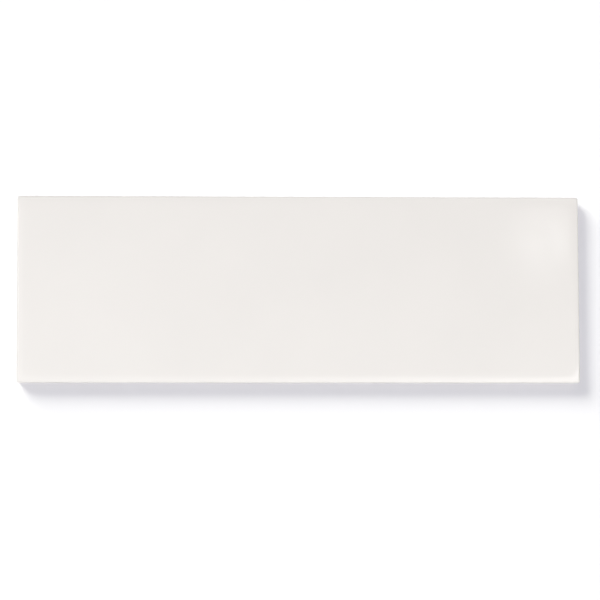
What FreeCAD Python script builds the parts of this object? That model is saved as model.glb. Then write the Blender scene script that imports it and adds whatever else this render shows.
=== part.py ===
"""Glazed ceramic wall tile in the 3:1 subway format: one dust-pressed, glazed and fired piece.

Millimetres, +Z up. The tile lies on its back with the glazed face up, its length along X.
The origin is on the back plane, under the middle of the face.

The section runs from the flat face over a rolled edge to a straight side, then tapers in to the back.
The back is keyed for adhesive: a grid of shallow recesses inside a plain border, parted by ribs.
"""

import FreeCAD, Part
import Sketcher
import math
import os

# Name, value and meaning of each driving dimension, in millimetres but for the draft and the counts
DIMENSIONS = (
    ("tile_length", 300.0, "length of the tile over its sides"),
    ("tile_width", 100.0, "width of the tile over its sides"),
    ("tile_thickness", 8.0, "height from the back plane to the flat face"),
    ("edge_radius", 1.2, "radius of the rolled edge round the face"),
    ("field_corner_radius", 0.1, "corner radius of the flat face, inside the rolled edge"),
    ("back_inset", 0.8, "how far the back's outline stands in from the sides"),
    ("taper_height", 4.0, "height above the back plane where the tapered sides turn upright"),
    ("key_border", 8.0, "plain border of the back, outside the recesses"),
    ("key_rib", 2.5, "rib between two neighbouring recesses"),
    ("key_depth", 0.8, "depth of a recess"),
    ("key_draft", 35.0, "slope of a recess wall, in degrees from upright"),
    ("key_corner_radius", 1.5, "corner radius of a recess at its mouth"),
    ("key_columns", 12, "recesses along the length"),
    ("key_rows", 4, "recesses across the width"),
)

# Sizes that several features share, worked out from the driving dimensions
OUTLINE_CORNER = "sizes.edge_radius + sizes.field_corner_radius"
KEYED_LENGTH = "sizes.tile_length - 2 * (sizes.back_inset + sizes.key_border)"
KEYED_WIDTH = "sizes.tile_width - 2 * (sizes.back_inset + sizes.key_border)"
PITCH_LENGTH = f"({KEYED_LENGTH} + sizes.key_rib) / sizes.key_columns"
PITCH_WIDTH = f"({KEYED_WIDTH} + sizes.key_rib) / sizes.key_rows"

# The numbers by which a sketch knows the points of an edge, and its own origin
START, END, CENTRE = 1, 2, 3
ORIGIN = -1

# A sketch is first drawn rough, with its arcs' centres and its sides this far from the origin
ROUGH_CENTRE = 1.0
ROUGH_SIDE = 2.0

# How near an edge lies to a plane to count as on it
ON_PLANE = 1e-4


def make_sizes(doc):
    """The spreadsheet that holds the driving dimensions, a row each."""
    sheet = doc.addObject("Spreadsheet::Sheet", "sizes")
    for row, (alias, value, meaning) in enumerate(DIMENSIONS, start=1):
        sheet.set(f"A{row}", meaning)
        sheet.set(f"B{row}", str(value))
        sheet.setAlias(f"B{row}", alias)
    doc.recompute()
    return sheet


def origin_feature(body, role):
    """One of the body's own origin planes or axes, by its role."""
    return next(item for item in body.Origin.OriginFeatures if item.Role == role)


def draw_rough_outline(sketch):
    """Four lines and four arcs, anticlockwise from the bottom line. Returns their numbers in the sketch."""
    centre, side = ROUGH_CENTRE, ROUGH_SIDE
    line_ends = (
        ((-centre, -side), (centre, -side)),
        ((side, -centre), (side, centre)),
        ((centre, side), (-centre, side)),
        ((-side, centre), (-side, -centre)),
    )
    arc_centres = ((centre, -centre), (centre, centre), (-centre, centre), (-centre, -centre))
    lines = []
    arcs = []
    for quarter, (first, last) in enumerate(line_ends):
        line = Part.LineSegment(FreeCAD.Vector(*first, 0), FreeCAD.Vector(*last, 0))
        lines.append(sketch.addGeometry(line))
        middle = FreeCAD.Vector(*arc_centres[quarter], 0)
        circle = Part.Circle(middle, FreeCAD.Vector(0, 0, 1), side - centre)
        turn = (quarter - 1) * math.pi / 2
        arcs.append(sketch.addGeometry(Part.ArcOfCircle(circle, turn, turn + math.pi / 2)))
    return lines, arcs


def rounded_rectangle(body, name, length, width, radius, corner=None):
    """A sketch on the body's XY plane: a rounded rectangle whose sizes follow the given expressions.

    It is centred on the origin, or has the lower left corner of its box at the two expressions in corner.
    """
    sketch = body.newObject("Sketcher::SketchObject", name)
    sketch.AttachmentSupport = [(origin_feature(body, "XY_Plane"), "")]
    sketch.MapMode = "FlatFace"
    lines, arcs = draw_rough_outline(sketch)
    bottom, right, top, left = lines

    def constrain(*terms):
        return sketch.addConstraint(Sketcher.Constraint(*terms))

    def dimension(label, expression, *terms):
        sketch.renameConstraint(constrain(*terms), label)
        sketch.setExpression(f"Constraints.{label}", expression)

    for quarter, arc in enumerate(arcs):
        next_line = lines[(quarter + 1) % len(lines)]
        constrain("Tangent", lines[quarter], END, arc, START)
        constrain("Tangent", arc, END, next_line, START)
    for line in (bottom, top):
        constrain("Horizontal", line)
    for line in (right, left):
        constrain("Vertical", line)
    for arc in arcs[1:]:
        constrain("Equal", arcs[0], arc)

    dimension("radius", radius, "Radius", arcs[0], ROUGH_SIDE - ROUGH_CENTRE)
    dimension("length", length, "DistanceX", left, START, right, START, 2 * ROUGH_SIDE)
    dimension("width", width, "DistanceY", bottom, START, top, START, 2 * ROUGH_SIDE)
    if corner is None:
        constrain("Symmetric", arcs[3], CENTRE, arcs[1], CENTRE, ORIGIN, START)
    else:
        dimension("corner_x", corner[0], "DistanceX", ORIGIN, START, left, START, -ROUGH_SIDE)
        dimension("corner_y", corner[1], "DistanceY", ORIGIN, START, bottom, START, -ROUGH_SIDE)
    return sketch


def edges_at(shape, height):
    """Names of the edges that lie in the level plane at that height."""
    names = []
    for number, edge in enumerate(shape.Edges, start=1):
        box = edge.BoundBox
        if abs(box.ZMin - height) < ON_PLANE and abs(box.ZMax - height) < ON_PLANE:
            names.append(f"Edge{number}")
    return names


def press_blank(body):
    """The pressed blank: the tile's outline, padded to its thickness."""
    blank = body.newObject("PartDesign::Pad", "blank")
    blank.Profile = rounded_rectangle(
        body, "outline", "sizes.tile_length", "sizes.tile_width", OUTLINE_CORNER
    )
    blank.setExpression("Length", "sizes.tile_thickness")
    body.Document.recompute()
    return blank


def taper_sides(body, blank):
    """The lower part of the sides, drawn in towards the back."""
    taper = body.newObject("PartDesign::Chamfer", "side_taper")
    taper.Base = (blank, edges_at(blank.Shape, 0.0))
    taper.ChamferType = "Two distances"
    taper.setExpression("Size", "sizes.taper_height")
    taper.setExpression("Size2", "sizes.back_inset")
    body.Document.recompute()
    return taper


def roll_edge(body, base, face_height):
    """The rolled edge that the glaze flows over, all round the face."""
    roll = body.newObject("PartDesign::Fillet", "rolled_edge")
    roll.Base = (base, edges_at(base.Shape, face_height))
    roll.setExpression("Radius", "sizes.edge_radius")
    body.Document.recompute()
    return roll


def cut_recess(body):
    """The adhesive key's first recess, in the lower left corner of the keyed area, with drafted walls."""
    recess = body.newObject("PartDesign::Pocket", "recess")
    recess.Profile = rounded_rectangle(
        body,
        "recess_mouth",
        f"{PITCH_LENGTH} - sizes.key_rib",
        f"{PITCH_WIDTH} - sizes.key_rib",
        "sizes.key_corner_radius",
        corner=(f"-({KEYED_LENGTH}) / 2", f"-({KEYED_WIDTH}) / 2"),
    )
    recess.Reversed = True
    recess.setExpression("Length", "sizes.key_depth")
    recess.setExpression("TaperAngle", "-sizes.key_draft")
    body.Document.recompute()
    return recess


def repeat_recess(body, recess):
    """The whole adhesive key: the recess repeated in columns along the length and rows across the width."""
    grid = body.newObject("PartDesign::LinearPattern", "key_grid")
    grid.Originals = [recess]
    grid.Direction = (origin_feature(body, "X_Axis"), [""])
    grid.Direction2 = (origin_feature(body, "Y_Axis"), [""])
    grid.Mode = "Extent"
    grid.Mode2 = "Extent"
    grid.setExpression("Length", f"{PITCH_LENGTH} * (sizes.key_columns - 1)")
    grid.setExpression("Length2", f"{PITCH_WIDTH} * (sizes.key_rows - 1)")
    grid.setExpression("Occurrences", "sizes.key_columns")
    grid.setExpression("Occurrences2", "sizes.key_rows")
    body.Tip = grid
    body.Document.recompute()
    return grid


def make_tile(doc, sheet):
    """The tile's body, feature by feature. Each feature after the first has to take material off."""
    body = doc.addObject("PartDesign::Body", "subway_tile")
    body.Label = "subway_tile"
    body.Placement = FreeCAD.Placement()
    blank = press_blank(body)
    taper = taper_sides(body, blank)
    roll = roll_edge(body, taper, float(sheet.tile_thickness))
    recess = cut_recess(body)
    grid = repeat_recess(body, recess)
    stages = (blank, taper, roll, recess, grid)
    for before, after in zip(stages, stages[1:]):
        if after.Shape.Volume >= before.Shape.Volume:
            raise RuntimeError(f"{after.Name} took nothing off {before.Name}")
    return body


def check(doc, bodies):
    """Stops the build if a feature failed or a sub-part isn't one valid solid."""
    for item in doc.Objects:
        if {"Invalid", "Error"} & set(item.State):
            raise RuntimeError(f"{item.Name} failed: {item.State}")
    for body in bodies:
        shape = body.Shape
        if shape.isNull() or not shape.isValid() or len(shape.Solids) != 1:
            raise RuntimeError(f"{body.Label} isn't one valid solid")


def main():
    doc = FreeCAD.newDocument("SubwayTile")
    bodies = [make_tile(doc, make_sizes(doc))]
    check(doc, bodies)
    os.makedirs("parts", exist_ok=True)
    for body in bodies:
        body.Shape.exportStep(f"parts/{body.Label}.step")
        box = body.Shape.BoundBox
        print(f"{body.Label}: {box.XLength:.2f} x {box.YLength:.2f} x {box.ZLength:.2f} mm")


main()
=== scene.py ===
"""Looks of the subway wall tile: its fired glaze, its bare biscuit, the studio and the camera.

Metres, in the part's own frame: +X along the tile, +Y across it, +Z out of the glazed face.
"""

import bpy
import math
import numpy as np
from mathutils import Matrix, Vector


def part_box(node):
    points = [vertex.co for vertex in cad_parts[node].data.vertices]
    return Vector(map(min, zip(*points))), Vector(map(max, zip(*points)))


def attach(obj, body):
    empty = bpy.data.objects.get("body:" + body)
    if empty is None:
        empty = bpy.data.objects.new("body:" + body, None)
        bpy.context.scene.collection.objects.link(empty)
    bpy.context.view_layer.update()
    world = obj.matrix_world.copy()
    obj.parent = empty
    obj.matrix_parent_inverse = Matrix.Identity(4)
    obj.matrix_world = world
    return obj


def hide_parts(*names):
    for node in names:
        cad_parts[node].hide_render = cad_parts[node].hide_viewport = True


MM = 0.001
NODE = "subway_tile"

# Sizes of the solid that the finished surface follows
EDGE_RADIUS = 1.2 * MM
CORNER_RADIUS = 1.3 * MM
BACK_INSET = 0.8 * MM
KEY_BORDER = 8.0 * MM
KEY_RIB = 2.5 * MM
KEY_DEPTH = 0.8 * MM
KEY_DRAFT = math.radians(35)
KEY_CORNER_RADIUS = 1.5 * MM
KEY_COLUMNS = 12
KEY_ROWS = 4

# The glaze thins and falls away towards the edges and the corners of the face, and fires a little uneven
CUSHION_WIDTH = 3.2 * MM
CUSHION_DROP = 0.13 * MM
CORNER_REACH = 7.0 * MM
CORNER_DROP = 0.2 * MM
WAVE_HEIGHT = 0.06 * MM
WAVE_LENGTHS = (40 * MM, 130 * MM)
WAVE_COUNT = 14
WAVE_SEED = 11

# Its lower rim on the sides is a bead that wanders, proud of the bare biscuit below. The wander is a sum of
# waves: their counts round the outline run from the first number up to the second, their shares at random
RIM_HEIGHT = 4.4 * MM
RIM_WANDER = 0.2 * MM
RIM_WAVES = (4, 90)
RIM_SHARES = (0.4, 1.0)
RIM_SEED = 5
GLAZE_SIDE_INSET = 0.05 * MM
BISCUIT_INSET = 0.2 * MM

# Inset and height above the rim of each ring down the glazed side and round the bead
BEAD_RINGS = (
    (GLAZE_SIDE_INSET, 0.9 * MM),
    (0.03 * MM, 0.55 * MM),
    (0.0 * MM, 0.35 * MM),
    (0.0 * MM, 0.2 * MM),
    (0.04 * MM, 0.07 * MM),
    (0.1 * MM, 0.01 * MM),
    (BISCUIT_INSET, 0.03 * MM),
)

# Inset and height of each ring down the bare side, in along the taper and round the edge of the back.
# The bare side starts this far below the rim
BARE_START = 0.05 * MM
BARE_RINGS = (
    (BISCUIT_INSET, 3.6 * MM),
    (0.21 * MM, 3.3 * MM),
    (0.26 * MM, 2.9 * MM),
    (0.44 * MM, 2.0 * MM),
    (0.64 * MM, 1.0 * MM),
    (0.75 * MM, 0.45 * MM),
    (0.8 * MM, 0.24 * MM),
    (0.87 * MM, 0.1 * MM),
    (0.97 * MM, 0.025 * MM),
    (1.1 * MM, 0.0 * MM),
)

# The wall of a recess is soft: it starts this far outside the mouth and ends as far past its foot
PRESS_SOFTNESS = 0.15 * MM

# Mesh fineness: distances of the grid lines from an edge of the face and from the mouth of a recess.
# Lines that agree to this many decimals of a metre are one
FACE_STEP = 2.0 * MM
EDGE_LINES = np.array((0, 0.3, 0.7, 1.2, 1.8, 2.5, 3.4, 4.6, 6.0)) * MM
RECESS_LINES = np.array((-0.2, 0, 0.15, 0.3, 0.45, 0.6, 0.8, 1.2, 1.8, 2.8, 4.6, 7.0)) * MM
LINE_DECIMALS = 9
CORNER_STEPS = 8
ROLL_STEPS = 10

# Places of the two materials on the mesh
GLAZE, BISCUIT = 0, 1

# The map that the skin is laid out flat on. What looks down more than this is on its half for the back,
# and the margin outside the tile's outline has room for the sides. The smallest reach keeps the fold of the
# sides from dividing by zero in the middle of the face
MAP_NAME = "OFBake"
MAP_BACK_NORMAL = -0.5
MAP_MARGIN = 8.5 * MM
SMALLEST_REACH = 0.001 * MM

# A mix node has sockets of the same name for each kind of value, so those for colours go by number
MIX_SHARE, MIX_FIRST, MIX_SECOND = 0, 6, 7
MIX_RESULT = 2

# Most of what a noise texture gives lies between these
NOISE_SPREAD = (0.3, 0.7)

# White glaze: two tones that cloud into each other, and a darker third over the rolled edge, partly for
# thinner glaze and partly painted shade of the edge. It comes in and goes out between these depths below
# the face. A bump is a height and a strength
GLAZE_DEEP = (0.854, 0.823, 0.795, 1)
GLAZE_PALE = (0.87, 0.838, 0.809, 1)
GLAZE_CLOUD = 45 * MM
GLAZE_THIN_AND_SHADE = (0.8, 0.79, 0.77, 1)
THIN_AND_SHADE_SHARE = 0.2
THIN_AND_SHADE_FROM = (0.35 * MM, 0.8 * MM)
THIN_AND_SHADE_TO = (1.4 * MM, 2.4 * MM)
GLAZE_IOR = 1.5
GLAZE_ROUGHNESS = (0.06, 0.1)
GLOSS_CLOUD = 9 * MM
RIPPLE_SIZE = 4 * MM
RIPPLE_BUMP = (0.01 * MM, 0.1)

# Bare biscuit: two tones, fine specks, and a pale kiln wash that fades out up the sides of the ribs
BISCUIT_DEEP = (0.71, 0.655, 0.565, 1)
BISCUIT_PALE = (0.765, 0.715, 0.63, 1)
BISCUIT_CLOUD = 22 * MM
SPECK_COLOUR = (0.46, 0.37, 0.28, 1)
SPECK_SHARE = 0.4
SPECK_SIZE = 1.3 * MM
SPECK_EDGE = (0.7, 0.76)
WASH_COLOUR = (0.82, 0.8, 0.76, 1)
WASH_SHARE = (0.0, 0.8)
WASH_CLOUD = 7 * MM
WASH_HEIGHTS = (0.25 * MM, 0.03 * MM)
BISCUIT_ROUGHNESS = (0.78, 0.92)
GRAIN_SIZE = 0.7 * MM
GRAIN_BUMP = (0.05 * MM, 0.5)

# Camera, fitted to the tile's outline in the photograph
CAMERA_LENS_MM = 200
CAMERA_PLACE = (-0.0831, -0.2106, 1.7697)
CAMERA_TURN_DEG = (6.632, -2.693, -0.196)

# Studio: a pale floor, a soft lamp overhead, a low fill lamp at the front, a little to the left, and a key
# lamp that casts the shadow to the front right
FLOOR_SIZE = 40.0
FLOOR_DROP = 0.1 * MM
FLOOR_COLOUR = (0.64, 0.638, 0.682, 1)
WORLD_STRENGTH = 0.35
TOP_FROM = (-0.2, 0.0, 0.98)
TOP_STRENGTH = 1.918
TOP_ANGLE = math.radians(80)
FILL_FROM = (-0.41, -0.91, 0.12)
FILL_STRENGTH = 0.6
FILL_ANGLE = math.radians(30)
KEY_FROM = (-0.6, 0.68, 0.5)
KEY_STRENGTH = 4.24
KEY_ANGLE = math.radians(33)
KEY_COLOUR = (1.0, 1.0, 0.87)

# A card overhead that the glaze mirrors, though it lights nothing matte. Its light falls off along a slope,
# a sum of shares of X and Y, between a bright and a dim place on it, each with its strength
CARD_HEIGHT = 3.2
CARD_CENTRE = (0.15, 0.4)
CARD_SIZE = (4.0, 3.5)
CARD_SLOPE = (0.4, 0.9)
CARD_BRIGHT = (-0.77, 3.2)
CARD_DIM = (0.58, 0.3)

# Bright rounds on the card: centre, radius, width of the soft border and strength
CARD_ROUNDS = (
    ((0.37, 0.056, 0), 0.065, 0.065, 4.5),
    ((1.2, -1.25, 0), 1.18, 0.05, 1.2),
    ((1.2, -1.25, 0), 1.44, 0.05, 0.5),
    ((1.0, -0.42, 0), 0.38, 0.2, 2.4),
    ((0.0, 2.4, 0), 2.25, 0.25, 0.8),
)

# Panels off three edges, which show only in reflections too: place, width and height, and power in watts.
# They stand high and are weak, so that the rolled edges catch them and the face stays clear in other views
PANELS = {
    "front_panel": ((0.08, -0.87, 0.92), (0.8, 0.6), 4),
    "left_panel": ((-0.84, 0.1, 1.04), (0.6, 0.6), 2.6),
    "right_panel": ((0.94, -0.02, 1.1), (0.24, 0.6), 1.2),
}


def wave_field(seed, count, lengths):
    """A smooth random field over the face, between -1 and 1: a sum of plane waves in all directions."""
    random = np.random.RandomState(seed)
    bearing = random.uniform(0, math.tau, count)
    length = random.uniform(*lengths, count)
    phase = random.uniform(0, math.tau, count)
    weight = length / length.sum()

    def field(x, y):
        along = np.multiply.outer(x, np.cos(bearing)) + np.multiply.outer(y, np.sin(bearing))
        return (weight * np.sin(math.tau * along / length + phase)).sum(-1)

    return field


def ring_wander(seed, waves, shares):
    """A smooth random wander round the outline, about -1 to 1, made of waves that close after one turn."""
    random = np.random.RandomState(seed)
    counts = np.arange(*waves)
    phase = random.uniform(0, math.tau, len(counts))
    weight = random.uniform(*shares, len(counts)) / counts
    weight = weight / np.sqrt((weight**2).sum())

    def wander(station):
        return (weight * np.sin(math.tau * np.multiply.outer(station, counts) + phase)).sum(-1)

    return wander


def smooth_step(t):
    """Rises from 0 to 1 as t does, level at both ends."""
    t = np.clip(t, 0, 1)
    return t * t * (3 - 2 * t)


class Shell:
    """Vertices and faces of the tile's skin, gathered until the mesh is made."""

    def __init__(self):
        self.points = []
        self.faces = []
        self.materials = []

    def add_points(self, points):
        """Adds vertices and returns their numbers."""
        first = len(self.points)
        self.points.extend(map(tuple, points))
        return np.arange(first, len(self.points))

    def add_face(self, corners, material):
        """A face of the distinct corners: a corner named twice makes a triangle of a square."""
        self.faces.append(list(dict.fromkeys(int(corner) for corner in corners)))
        self.materials.append(material)

    def add_grid(self, xs, ys, heights, material, upward):
        """A surface over the grid lines. Returns its vertex numbers, a row for each y."""
        flat_x, flat_y = np.meshgrid(xs, ys)
        points = np.column_stack([flat_x.ravel(), flat_y.ravel(), heights.ravel()])
        grid = self.add_points(points).reshape(len(ys), len(xs))
        for row in range(len(ys) - 1):
            for column in range(len(xs) - 1):
                near = [grid[row, column], grid[row, column + 1]]
                far = [grid[row + 1, column + 1], grid[row + 1, column]]
                corners = near + far
                self.add_face(corners if upward else corners[::-1], material)
        return grid

    def bridge(self, upper, lower, material):
        """Faces between two rings of the same count."""
        for here in range(len(upper)):
            ahead = (here + 1) % len(upper)
            self.add_face([upper[here], lower[here], lower[ahead], upper[ahead]], material)

    def zip_rings(self, upper, upper_stations, lower, lower_stations, material):
        """Triangles between two rings of different counts, led by how far round each vertex stands."""
        upper = np.append(upper, upper[0])
        lower = np.append(lower, lower[0])
        upper_stations = np.append(upper_stations[1:], [1.0, math.inf])
        lower_stations = np.append(lower_stations[1:], [1.0, math.inf])
        above = below = 0
        while above < len(upper) - 1 or below < len(lower) - 1:
            if upper_stations[above] <= lower_stations[below]:
                self.add_face([upper[above], lower[below], upper[above + 1]], material)
                above += 1
            else:
                self.add_face([upper[above], lower[below], lower[below + 1]], material)
                below += 1

    def make_object(self, name, materials):
        """The gathered skin as one object, shaded smooth."""
        mesh = bpy.data.meshes.new(name)
        mesh.from_pydata(self.points, [], self.faces)
        for material in materials:
            mesh.materials.append(material)
        mesh.polygons.foreach_set("material_index", self.materials)
        mesh.polygons.foreach_set("use_smooth", [True] * len(self.faces))
        mesh.update()
        return link_object(name, mesh)


class Outline:
    """The tile's rounded outline with a vertex on every grid line, anticlockwise from its front left."""

    def __init__(self, xs, ys):
        self.xs = xs
        self.ys = ys
        whole = self.points(0)
        reach = np.hypot(*np.diff(whole, axis=0, append=whole[:1]).T)
        self.stations = np.concatenate([[0], np.cumsum(reach)[:-1]]) / reach.sum()

    def points(self, inset):
        """The outline drawn in by inset."""
        radius = CORNER_RADIUS - inset
        right, rear = self.xs[-1], self.ys[-1]
        turns = np.linspace(0, math.pi / 2, CORNER_STEPS + 1)[1:-1]

        def side(x, y):
            return np.column_stack(np.broadcast_arrays(x, y))

        def corner(x, y, start):
            return side(x + radius * np.cos(start + turns), y + radius * np.sin(start + turns))

        return np.concatenate([
            side(self.xs, -rear - radius),
            corner(right, -rear, -math.pi / 2),
            side(right + radius, self.ys),
            corner(right, rear, 0),
            side(self.xs[::-1], rear + radius),
            corner(-right, rear, math.pi / 2),
            side(-right - radius, self.ys[::-1]),
            corner(-right, -rear, math.pi),
        ])

    def border_of(self, grid):
        """The grid's border vertices in the outline's order, each corner standing for its whole arc."""
        arc = CORNER_STEPS - 1
        return np.concatenate([
            grid[0, :],
            np.full(arc, grid[0, -1]),
            grid[:, -1],
            np.full(arc, grid[-1, -1]),
            grid[-1, ::-1],
            np.full(arc, grid[-1, 0]),
            grid[::-1, 0],
            np.full(arc, grid[0, 0]),
        ])


def face_lines(half):
    """Grid lines of the face along one axis: close beside the edges, even between."""
    edge = half - EDGE_LINES
    inner = edge[-1]
    even = np.linspace(-inner, inner, round(2 * inner / FACE_STEP) + 1)
    return np.unique(np.concatenate([edge, -edge, even]).round(LINE_DECIMALS))


def back_lines(half, cells, pitch):
    """Grid lines of the back along one axis: close beside the recess walls and the edges."""
    edge = half - EDGE_LINES[::2]
    reach = (pitch - KEY_RIB) / 2 - RECESS_LINES
    lines = [edge, -edge]
    for cell in range(cells):
        centre = (cell - (cells - 1) / 2) * pitch
        lines += [centre + reach, centre - reach]
    return np.unique(np.concatenate(lines).round(LINE_DECIMALS))


class Tile:
    """The tile's finished skin, built from the face down over the sides to the back."""

    def __init__(self, low, high):
        self.length, self.width, self.thickness = high - low
        self.uneven = wave_field(WAVE_SEED, WAVE_COUNT, WAVE_LENGTHS)
        self.wander = ring_wander(RIM_SEED, RIM_WAVES, RIM_SHARES)
        self.shell = Shell()

    def face_height(self, x, y):
        """Height of the glazed face: flat, but for the cushion round it and a slight unevenness."""
        from_end = self.length / 2 - EDGE_RADIUS - np.abs(x)
        from_side = self.width / 2 - EDGE_RADIUS - np.abs(y)
        from_corner = np.hypot(from_end, from_side)
        height = self.thickness - WAVE_HEIGHT * (1 + self.uneven(x, y)) / 2
        for away, reach, drop in (
            (from_end, CUSHION_WIDTH, CUSHION_DROP),
            (from_side, CUSHION_WIDTH, CUSHION_DROP),
            (from_corner, CORNER_REACH, CORNER_DROP),
        ):
            height = height - drop * np.clip(1 - away / reach, 0, 1) ** 2
        return height

    def key_pitch(self, span, cells):
        """Distance from one recess of the adhesive key to the next, along one axis."""
        return (span - 2 * (BACK_INSET + KEY_BORDER) + KEY_RIB) / cells

    def back_height(self, x, y):
        """Height of the back: the plane it lies on, and the recesses of the adhesive key."""
        beyond = []
        for place, span, cells in ((x, self.length, KEY_COLUMNS), (y, self.width, KEY_ROWS)):
            pitch = self.key_pitch(span, cells)
            nearest = np.clip(np.round(place / pitch + (cells - 1) / 2), 0, cells - 1)
            centre = (nearest - (cells - 1) / 2) * pitch
            straight = (pitch - KEY_RIB) / 2 - KEY_CORNER_RADIUS
            beyond.append(np.abs(place - centre) - straight)

        # How far within the rounded mouth of the nearest recess each place lies
        outside = np.hypot(np.maximum(beyond[0], 0), np.maximum(beyond[1], 0))
        inside = np.minimum(np.maximum(beyond[0], beyond[1]), 0)
        within = KEY_CORNER_RADIUS - outside - inside
        wall = KEY_DEPTH * math.tan(KEY_DRAFT)
        return KEY_DEPTH * smooth_step((within + PRESS_SOFTNESS) / (wall + 2 * PRESS_SOFTNESS))

    def add_ring(self, outline, inset, heights):
        """Vertices along the outline drawn in by inset. Returns their numbers."""
        points = outline.points(inset)
        return self.shell.add_points(np.column_stack([points, np.broadcast_to(heights, len(points))]))

    def rim_heights(self, outline):
        """Height of the glaze's lower rim at each vertex of the outline."""
        return RIM_HEIGHT + RIM_WANDER * self.wander(outline.stations)

    def add_glaze(self, material):
        """The face, its rolled edge and the glazed sides. Returns the outline and its last ring."""
        xs = face_lines(self.length / 2 - CORNER_RADIUS)
        ys = face_lines(self.width / 2 - CORNER_RADIUS)
        outline = Outline(xs, ys)
        grid = self.shell.add_grid(xs, ys, self.face_height(*np.meshgrid(xs, ys)), material, upward=True)
        ring = outline.border_of(grid)

        # The rolled edge carries on from the slope that the cushion ends at, until it is upright
        slope = math.atan(2 * CUSHION_DROP / CUSHION_WIDTH)
        shoulder = outline.points(GLAZE_SIDE_INSET + EDGE_RADIUS * (1 - math.sin(slope)))
        shoulder_heights = self.face_height(*shoulder.T)
        for tilt in np.linspace(slope, math.pi / 2, ROLL_STEPS):
            inset = GLAZE_SIDE_INSET + EDGE_RADIUS * (1 - math.sin(tilt))
            fall = EDGE_RADIUS * (math.cos(slope) - math.cos(tilt))
            lower = self.add_ring(outline, inset, shoulder_heights - fall)
            self.shell.bridge(ring, lower, material)
            ring = lower
        for inset, above_rim in BEAD_RINGS:
            lower = self.add_ring(outline, inset, self.rim_heights(outline) + above_rim)
            self.shell.bridge(ring, lower, material)
            ring = lower
        return outline, ring

    def add_biscuit(self, material, glaze_outline, glaze_ring):
        """The bare part of the sides and the keyed back."""
        pitch_x = self.key_pitch(self.length, KEY_COLUMNS)
        pitch_y = self.key_pitch(self.width, KEY_ROWS)
        xs = back_lines(self.length / 2 - CORNER_RADIUS, KEY_COLUMNS, pitch_x)
        ys = back_lines(self.width / 2 - CORNER_RADIUS, KEY_ROWS, pitch_y)
        outline = Outline(xs, ys)
        ring = self.add_ring(outline, BISCUIT_INSET, self.rim_heights(outline) - BARE_START)
        self.shell.zip_rings(glaze_ring, glaze_outline.stations, ring, outline.stations, material)
        for inset, height in BARE_RINGS:
            lower = self.add_ring(outline, inset, height)
            self.shell.bridge(ring, lower, material)
            ring = lower
        grid = self.shell.add_grid(xs, ys, self.back_height(*np.meshgrid(xs, ys)), material, upward=False)
        self.shell.bridge(ring, outline.border_of(grid), material)

    def add_map(self, mesh):
        """Lays the skin out flat: half for the face, with the sides folded out, and half for the back."""
        on_back = [face.normal.z < MAP_BACK_NORMAL for face in mesh.polygons]
        on_back = np.repeat(on_back, [len(face) for face in self.shell.faces])
        place = np.array(self.shell.points)[np.concatenate(self.shell.faces)]
        span = np.array((self.length, self.width))

        # A side folds out by its depth below the face, straight away from the level middle
        level = place[:, :2].clip(CORNER_RADIUS - span / 2, span / 2 - CORNER_RADIUS)
        out = place[:, :2] - level
        reach = np.hypot(*out.T).clip(SMALLEST_REACH)
        folded = reach.clip(max=CORNER_RADIUS - BISCUIT_INSET) + self.thickness - place[:, 2]
        flat = level + out * np.where(on_back, 1, folded / reach)[:, None]

        # The map is 1 by 1, with the face in the lower half and the back, turned over, in the upper
        along, across = (flat / (span + 2 * MAP_MARGIN) + 0.5).T
        flat = np.column_stack([np.where(on_back, 1 - along, along), (across + on_back) / 2])
        mesh.uv_layers.new(name=MAP_NAME).uv.foreach_set("vector", flat.ravel())

    def build(self, glaze, biscuit):
        """The whole skin as one object with its two materials."""
        outline, ring = self.add_glaze(GLAZE)
        self.add_biscuit(BISCUIT, outline, ring)
        tile = self.shell.make_object("tile_skin", [glaze, biscuit])
        self.add_map(tile.data)
        return tile


class Tree:
    """Shorthand for wiring a node tree. Most of its calls add a node and return its output."""

    def __init__(self, tree):
        self.nodes = tree.nodes
        self.links = tree.links
        self.nodes.clear()

    def put(self, value, socket):
        """Sets a socket to a plain value, or wires another node's socket into it."""
        if isinstance(value, bpy.types.NodeSocket):
            self.links.new(value, socket)
        else:
            socket.default_value = value

    def add(self, kind, inputs, **settings):
        """A node with its settings, and its inputs by name or number."""
        node = self.nodes.new(kind)
        for name, value in settings.items():
            setattr(node, name, value)
        for key, value in inputs.items():
            self.put(value, node.inputs[key])
        return node

    def place(self):
        """Where the shaded point lies in its object's own frame."""
        return self.add("ShaderNodeTexCoord", {}).outputs["Object"]

    def part(self, vector, axis):
        """One coordinate of a vector."""
        return self.add("ShaderNodeSeparateXYZ", {"Vector": vector}).outputs[axis]

    def noise(self, vector, size, detail=2.0):
        """Noise from 0 to 1 whose features are about size across."""
        inputs = {"Vector": vector, "Scale": 1 / size, "Detail": detail}
        return self.add("ShaderNodeTexNoise", inputs).outputs["Fac"]

    def clouds(self, vector, size, low=0.0, high=1.0, detail=2.0):
        """Noise whose usual spread is stretched from low to high."""
        return self.spread(self.noise(vector, size, detail), *NOISE_SPREAD, low, high)

    def spread(self, value, low, high, to_low=0.0, to_high=1.0, soft=False):
        """The value's stretch from low to high, mapped to another and held at its ends, evenly or softly."""
        inputs = {"Value": value, "From Min": low, "From Max": high, "To Min": to_low, "To Max": to_high}
        change = "SMOOTHSTEP" if soft else "LINEAR"
        return self.add("ShaderNodeMapRange", inputs, interpolation_type=change).outputs["Result"]

    def math(self, operation, first, second):
        return self.add("ShaderNodeMath", {0: first, 1: second}, operation=operation).outputs[0]

    def mix(self, share, first, second):
        """A colour between two: the first at share 0, the second at 1."""
        inputs = {MIX_SHARE: share, MIX_FIRST: first, MIX_SECOND: second}
        return self.add("ShaderNodeMix", inputs, data_type="RGBA").outputs[MIX_RESULT]

    def bump(self, height, distance, strength):
        inputs = {"Height": height, "Distance": distance, "Strength": strength}
        return self.add("ShaderNodeBump", inputs).outputs["Normal"]

    def surface(self, shader, kind="ShaderNodeOutputMaterial"):
        self.add(kind, {"Surface": shader})


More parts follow.
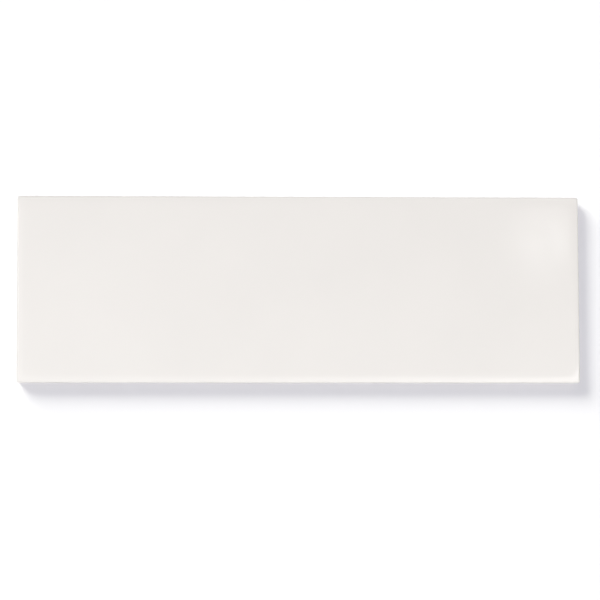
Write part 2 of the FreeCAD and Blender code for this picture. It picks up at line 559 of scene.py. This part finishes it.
def new_material(name):
    """A material and its node tree, empty."""
    material = bpy.data.materials.new(name)
    material.use_nodes = True
    return material, Tree(material.node_tree)


def make_glaze(thickness):
    """Opaque warm white glaze: glossy, faintly clouded, and darker over the rolled edge.

    The darker tone there is partly thinner glaze and partly painted shade of the edge.
    """
    material, tree = new_material("white_glaze")
    place = tree.place()
    depth = tree.math("SUBTRACT", thickness, tree.part(place, "Z"))
    tone = tree.mix(tree.clouds(place, GLAZE_CLOUD, detail=3), GLAZE_DEEP, GLAZE_PALE)
    # Darker over the rolled edge: partly thinner glaze, partly painted shade of the edge
    thin_and_shade = tree.math("MULTIPLY", tree.spread(depth, *THIN_AND_SHADE_FROM), tree.spread(depth, *THIN_AND_SHADE_TO, 1, 0))
    colour = tree.mix(tree.math("MULTIPLY", thin_and_shade, THIN_AND_SHADE_SHARE), tone, GLAZE_THIN_AND_SHADE)
    inputs = {
        "Base Color": colour,
        "Roughness": tree.clouds(place, GLOSS_CLOUD, *GLAZE_ROUGHNESS),
        "Normal": tree.bump(tree.noise(place, RIPPLE_SIZE), *RIPPLE_BUMP),
        "IOR": GLAZE_IOR,
    }
    tree.surface(tree.add("ShaderNodeBsdfPrincipled", inputs).outputs[0])
    return material


def make_biscuit():
    """Bare off-white biscuit: matte and grainy, with fine specks and a pale kiln wash on the ribs."""
    material, tree = new_material("bare_biscuit")
    place = tree.place()
    body = tree.mix(tree.clouds(place, BISCUIT_CLOUD, detail=3), BISCUIT_DEEP, BISCUIT_PALE)
    speck = tree.spread(tree.noise(place, SPECK_SIZE, detail=1), *SPECK_EDGE, 0, SPECK_SHARE)
    on_rib = tree.spread(tree.part(place, "Z"), *WASH_HEIGHTS)
    wash = tree.math("MULTIPLY", on_rib, tree.clouds(place, WASH_CLOUD, *WASH_SHARE, detail=4))
    grain = tree.noise(place, GRAIN_SIZE, detail=4)
    inputs = {
        "Base Color": tree.mix(wash, tree.mix(speck, body, SPECK_COLOUR), WASH_COLOUR),
        "Roughness": tree.clouds(place, GRAIN_SIZE, *BISCUIT_ROUGHNESS, detail=4),
        "Normal": tree.bump(grain, *GRAIN_BUMP),
    }
    tree.surface(tree.add("ShaderNodeBsdfPrincipled", inputs).outputs[0])
    return material


def link_object(name, data):
    """A new object in the scene."""
    item = bpy.data.objects.new(name, data)
    bpy.context.scene.collection.objects.link(item)
    return item


def make_rectangle(name, size, place, material, upward):
    """A level rectangle of the stage, facing up or down."""
    x, y = size[0] / 2, size[1] / 2
    corners = [(-x, -y, 0), (x, -y, 0), (x, y, 0), (-x, y, 0)]
    mesh = bpy.data.meshes.new(name)
    mesh.from_pydata(corners, [], [(0, 1, 2, 3) if upward else (3, 2, 1, 0)])
    mesh.materials.append(material)
    rectangle = link_object(name, mesh)
    rectangle.location = place
    return rectangle


def make_floor():
    """A pale floor that takes the tile's shadow."""
    material, tree = new_material("pale_floor")
    tree.surface(tree.add("ShaderNodeBsdfDiffuse", {"Color": FLOOR_COLOUR}).outputs[0])
    return make_rectangle("floor", (FLOOR_SIZE, FLOOR_SIZE), (0, 0, -FLOOR_DROP), material, upward=True)


def make_world():
    """White where it is seen or mirrored, and weaker where it only lights."""
    world = bpy.data.worlds.new("studio")
    world.use_nodes = True
    tree = Tree(world.node_tree)
    path = tree.add("ShaderNodeLightPath", {}).outputs
    glossy_or_through = tree.math("MAXIMUM", path["Is Glossy Ray"], path["Is Transmission Ray"])
    seen = tree.math("MAXIMUM", path["Is Camera Ray"], glossy_or_through)
    strength = tree.spread(seen, 0, 1, WORLD_STRENGTH, 1.0)
    light = tree.add("ShaderNodeBackground", {"Color": (1, 1, 1, 1), "Strength": strength}).outputs[0]
    tree.surface(light, "ShaderNodeOutputWorld")
    bpy.context.scene.world = world


def make_card():
    """A wide card overhead, bright at the front left and dim at the rear right, that the glaze mirrors."""
    material, tree = new_material("light_card")
    place = tree.place()
    along = tree.math("MULTIPLY", tree.part(place, "X"), CARD_SLOPE[0])
    across = tree.math("MULTIPLY", tree.part(place, "Y"), CARD_SLOPE[1])
    (near, bright), (far, dim) = CARD_BRIGHT, CARD_DIM
    level = tree.spread(tree.math("ADD", along, across), near, far, bright, dim, soft=True)
    for centre, radius, border, strength in CARD_ROUNDS:
        away = tree.add("ShaderNodeVectorMath", {0: place, 1: centre}, operation="DISTANCE").outputs["Value"]
        level = tree.math("ADD", level, tree.spread(away, radius, radius - border, 0, strength, soft=True))
    tree.surface(tree.add("ShaderNodeEmission", {"Strength": level}).outputs[0])
    card = make_rectangle("card", CARD_SIZE, (*CARD_CENTRE, CARD_HEIGHT), material, upward=False)
    card.visible_diffuse = False
    card.visible_shadow = False


def face_back(item, towards):
    """Turns a lamp so that it shines from the direction it stands in."""
    item.rotation_euler = Vector(towards).to_track_quat("Z", "Y").to_euler()


def make_sun(name, towards, strength, angle, colour=(1, 1, 1), casts_shadow=False):
    """A lamp so far off that it lights everything alike, and that the glaze doesn't mirror.

    Multiple importance sampling also finds a lamp by bounced rays, which things in their way still block,
    so a lamp that casts no shadow goes without it.
    """
    sun = bpy.data.lights.new(name, "SUN")
    sun.energy = strength
    sun.angle = angle
    sun.color = colour
    sun.use_shadow = casts_shadow
    sun.cycles.use_multiple_importance_sampling = casts_shadow
    item = link_object(name, sun)
    face_back(item, towards)
    item.visible_glossy = False
    return item


def make_lamps(floor):
    """The soft lamps, the key lamp that only the floor takes, and the panels."""
    make_sun("top", TOP_FROM, TOP_STRENGTH, TOP_ANGLE)
    make_sun("fill", FILL_FROM, FILL_STRENGTH, FILL_ANGLE)
    key = make_sun("key", KEY_FROM, KEY_STRENGTH, KEY_ANGLE, KEY_COLOUR, casts_shadow=True)
    shaded = bpy.data.collections.new("shaded_by_key")
    shaded.objects.link(floor)
    key.light_linking.receiver_collection = shaded
    for name, (place, size, power) in PANELS.items():
        panel = bpy.data.lights.new(name, "AREA")
        panel.shape = "RECTANGLE"
        panel.size, panel.size_y = size
        panel.energy = power
        item = link_object(name, panel)
        item.location = place
        face_back(item, place)
        item.visible_diffuse = False
        item.visible_camera = False


def make_camera():
    """The camera, at the photograph's viewing angle."""
    camera = bpy.data.cameras.new("camera")
    camera.lens = CAMERA_LENS_MM
    item = link_object("camera", camera)
    item.location = CAMERA_PLACE
    item.rotation_euler = [math.radians(angle) for angle in CAMERA_TURN_DEG]
    bpy.context.scene.camera = item


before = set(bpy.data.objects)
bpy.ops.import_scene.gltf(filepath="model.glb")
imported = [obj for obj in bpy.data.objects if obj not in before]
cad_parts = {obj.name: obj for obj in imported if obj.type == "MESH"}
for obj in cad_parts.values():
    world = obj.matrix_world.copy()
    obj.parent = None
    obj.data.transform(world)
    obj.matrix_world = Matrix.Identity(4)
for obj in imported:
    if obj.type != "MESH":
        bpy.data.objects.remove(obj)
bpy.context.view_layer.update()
low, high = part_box(NODE)

tile = Tile(low, high).build(make_glaze(high.z), make_biscuit())
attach(tile, "root")
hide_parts(NODE)

make_lamps(make_floor())
make_world()
make_card()
make_camera()
bpy.context.scene.view_settings.view_transform = "Standard"
